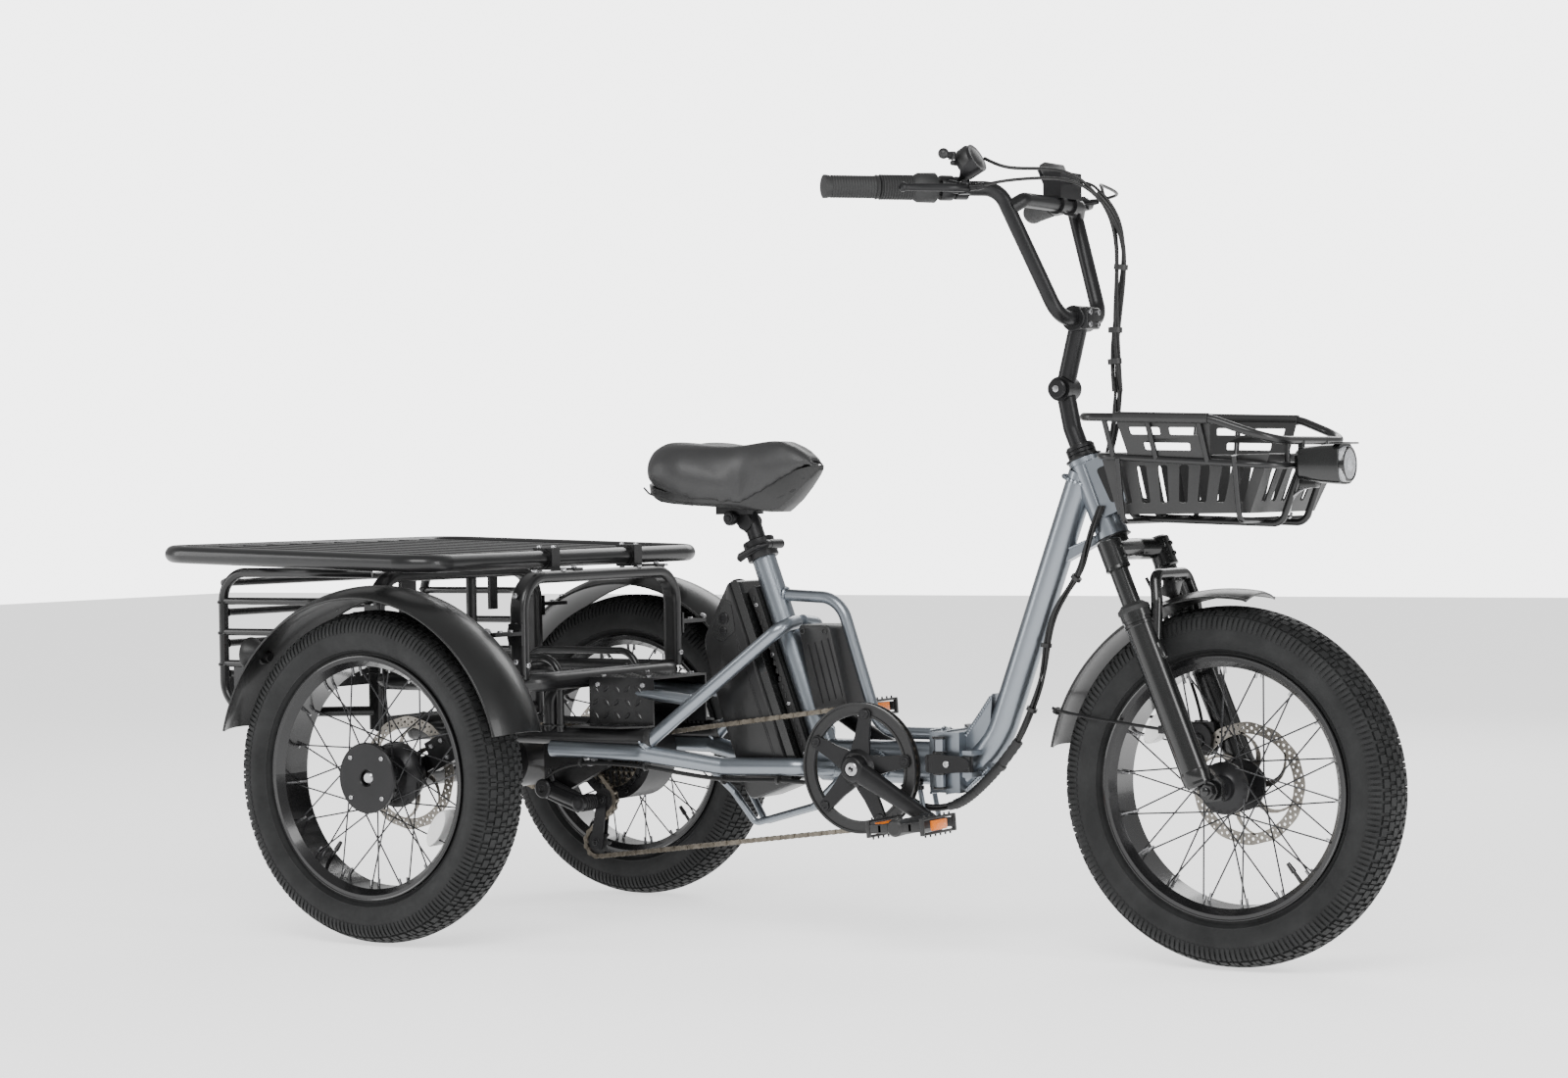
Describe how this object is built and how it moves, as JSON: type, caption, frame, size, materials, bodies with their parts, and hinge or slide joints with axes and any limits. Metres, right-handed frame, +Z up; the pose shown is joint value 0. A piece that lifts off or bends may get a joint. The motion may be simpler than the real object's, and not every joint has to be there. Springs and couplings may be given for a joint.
{
  "type": "adult tricycle",
  "caption": "Adult folding electric cargo tricycle with fat tyres, front basket, sprung fork, padded saddle and a tubular rear cargo platform with tail guard.",
  "frame": {"origin": "centre of the bounding box at floor level", "axes": "+X forward, +Y to the rider's left, +Z up"},
  "size_m": [2.0127, 0.82, 1.1956],
  "materials": {
    "frame_grey": "satin",
    "cargo_black": "satin",
    "tyre_black": "matte",
    "rim_black": "satin",
    "steel": "brushed",
    "black_metal": "anodised",
    "chain_steel": "oiled",
    "black_plastic": "matte",
    "saddle_cover": "matte",
    "grip_rubber": "matte",
    "cable_black": "matte",
    "red_lens": "gloss"
  },
  "bodies": {
    "rear_frame": {"rear_frame": "frame_grey", "cargo_base": "cargo_black", "step_plates": "cargo_black", "hoops": "cargo_black", "tail_guard": "cargo_black", "platform": "cargo_black", "rear_axle": "cargo_black", "rear_calipers": "black_metal", "rear_fenders": "black_plastic", "brackets": "cargo_black", "tail_lamps": "red_lens", "chain": "chain_steel", "final_chain": "chain_steel", "derailleur": "black_metal", "battery_rail": "black_plastic", "controller_box": "black_plastic", "seat_clamp": "black_metal", "fold_pin": "steel", "rear_cables": "cable_black"},
    "latch": {"fold_latch": "black_metal"},
    "seat_lever": {"seat_lever": "black_metal"},
    "seat": {"seatpost": "steel", "saddle": "saddle_cover"},
    "battery": {"battery": "black_plastic"},
    "front_frame": {"front_frame": "frame_grey", "basket_frame": "cargo_black", "basket_liner": "black_plastic", "headlamp": "black_plastic", "front_cables": "cable_black"},
    "steerer": {"fork_upper": "black_metal", "stem_quill": "black_metal"},
    "fork": {"fork_lowers": "black_metal", "front_fender": "black_plastic"},
    "front_wheel": {"front_tyre": "tyre_black", "front_rim": "rim_black", "front_spokes": "steel", "front_hub": "black_metal"},
    "rear_right_wheel": {"rear_right_tyre": "tyre_black", "rear_right_rim": "rim_black", "rear_right_spokes": "steel", "rear_right_hub": "black_metal"},
    "rear_left_wheel": {"rear_left_tyre": "tyre_black", "rear_left_rim": "rim_black", "rear_left_spokes": "steel", "rear_left_hub": "black_metal"},
    "crank": {"crankset": "black_metal"},
    "pedal_right": {"pedal_right": "black_plastic"},
    "pedal_left": {"pedal_left": "black_plastic"},
    "motor": {"motor_gears": "black_metal"},
    "guide": {"guide_pulley": "black_plastic"},
    "tension": {"tension_pulley": "black_plastic"},
    "bars": {"handlebar": "black_metal", "grips": "grip_rubber", "bar_controls": "black_plastic", "bar_cables": "cable_black"},
    "lever_right": {"brake_lever_right": "black_metal"},
    "lever_left": {"brake_lever_left": "black_metal"},
    "throttle": {"throttle_twist": "grip_rubber"},
    "paddle": {"shift_paddle": "black_plastic"}
  },
  "joints": [
    {"name": "frame_fold", "type": "hinge", "parent": "rear_frame", "child": "front_frame", "pos_m": [0.2855, 0.042, 0.284], "axis": [0, 0, 1], "range_deg": [0, 115]},
    {"name": "latch_open", "type": "hinge", "parent": "front_frame", "child": "latch", "pos_m": [0.3335, -0.046, 0.284], "axis": [0, 0, 1], "range_deg": [0, 100]},
    {"name": "steering", "type": "hinge", "parent": "front_frame", "child": "steerer", "pos_m": [0.5347, 0, 0.67975], "axis": [-0.3714, 0, 0.9285], "range_deg": [-50, 50]},
    {"name": "fork_travel", "type": "slide", "parent": "steerer", "child": "fork", "axis": [-0.3714, 0, 0.9285], "range_m": [0, 0.045], "stiffness_N_per_m": 16000, "springref_m": -0.004},
    {"name": "front_wheel_spin", "type": "hinge", "parent": "fork", "child": "front_wheel", "pos_m": [0.7455, 0, 0.261], "axis": [0, 1, 0], "continuous": true},
    {"name": "rear_right_spin", "type": "hinge", "parent": "rear_frame", "child": "rear_right_wheel", "pos_m": [-0.5545, -0.35, 0.261], "axis": [0, 1, 0], "continuous": true},
    {"name": "rear_left_spin", "type": "hinge", "parent": "rear_frame", "child": "rear_left_wheel", "pos_m": [-0.5545, 0.35, 0.261], "axis": [0, 1, 0], "continuous": true},
    {"name": "crank_spin", "type": "hinge", "parent": "rear_frame", "child": "crank", "pos_m": [0.1545, 0, 0.274], "axis": [0, 1, 0], "continuous": true},
    {"name": "pedal_right_spin", "type": "hinge", "parent": "crank", "child": "pedal_right", "pos_m": [0.29681, -0.15, 0.20086], "axis": [0, 1, 0], "continuous": true},
    {"name": "pedal_left_spin", "type": "hinge", "parent": "crank", "child": "pedal_left", "pos_m": [0.01219, 0.15, 0.34714], "axis": [0, 1, 0], "continuous": true},
    {"name": "motor_spin", "type": "hinge", "parent": "rear_frame", "child": "motor", "pos_m": [-0.3365, 0, 0.278], "axis": [0, 1, 0], "continuous": true},
    {"name": "guide_spin", "type": "hinge", "parent": "rear_frame", "child": "guide", "pos_m": [-0.3325, -0.061, 0.207], "axis": [0, 1, 0], "continuous": true},
    {"name": "tension_spin", "type": "hinge", "parent": "rear_frame", "child": "tension", "pos_m": [-0.3465, -0.061, 0.138], "axis": [0, 1, 0], "continuous": true},
    {"name": "stem_tilt", "type": "hinge", "parent": "steerer", "child": "bars", "pos_m": [0.4815, 0, 0.842], "axis": [0, 1, 0], "range_deg": [-35, 8]},
    {"name": "seat_height", "type": "slide", "parent": "rear_frame", "child": "seat", "axis": [-0.3499, 0, 0.9368], "range_m": [0, 0.09]},
    {"name": "seat_lever_open", "type": "hinge", "parent": "rear_frame", "child": "seat_lever", "pos_m": [-0.03884, 0, 0.615], "axis": [0, 1, 0], "range_deg": [0, 40]},
    {"name": "battery_out", "type": "slide", "parent": "rear_frame", "child": "battery", "axis": [-0.3499, 0, 0.9368], "range_m": [0, 0.06]},
    {"name": "brake_right", "type": "hinge", "parent": "bars", "child": "lever_right", "pos_m": [0.42045, -0.18363, 1.13425], "axis": [0, 0, -1], "range_deg": [0, 10], "stiffness_Nm_per_rad": 1.5, "springref_deg": -2.86},
    {"name": "brake_left", "type": "hinge", "parent": "bars", "child": "lever_left", "pos_m": [0.42045, 0.18363, 1.13425], "axis": [0, 0, 1], "range_deg": [0, 10], "stiffness_Nm_per_rad": 1.5, "springref_deg": -2.86},
    {"name": "throttle_turn", "type": "hinge", "parent": "bars", "child": "throttle", "pos_m": [0.34587, -0.21785, 1.13453], "axis": [-0.6545, -0.7561, 0.0038], "range_deg": [0, 60], "stiffness_Nm_per_rad": 0.4, "springref_deg": -2.86},
    {"name": "shift_press", "type": "hinge", "parent": "bars", "child": "paddle", "pos_m": [0.40536, -0.19189, 1.17831], "axis": [0, 0, -1], "range_deg": [0, 12], "stiffness_Nm_per_rad": 0.8, "springref_deg": -2.86}
  ],
  "couplings": [
    {"joint": "motor_spin", "follows": "crank_spin", "ratio": 4.1818},
    {"joint": "guide_spin", "follows": "crank_spin", "ratio": -4.1818},
    {"joint": "tension_spin", "follows": "crank_spin", "ratio": 4.1818}
  ]
}
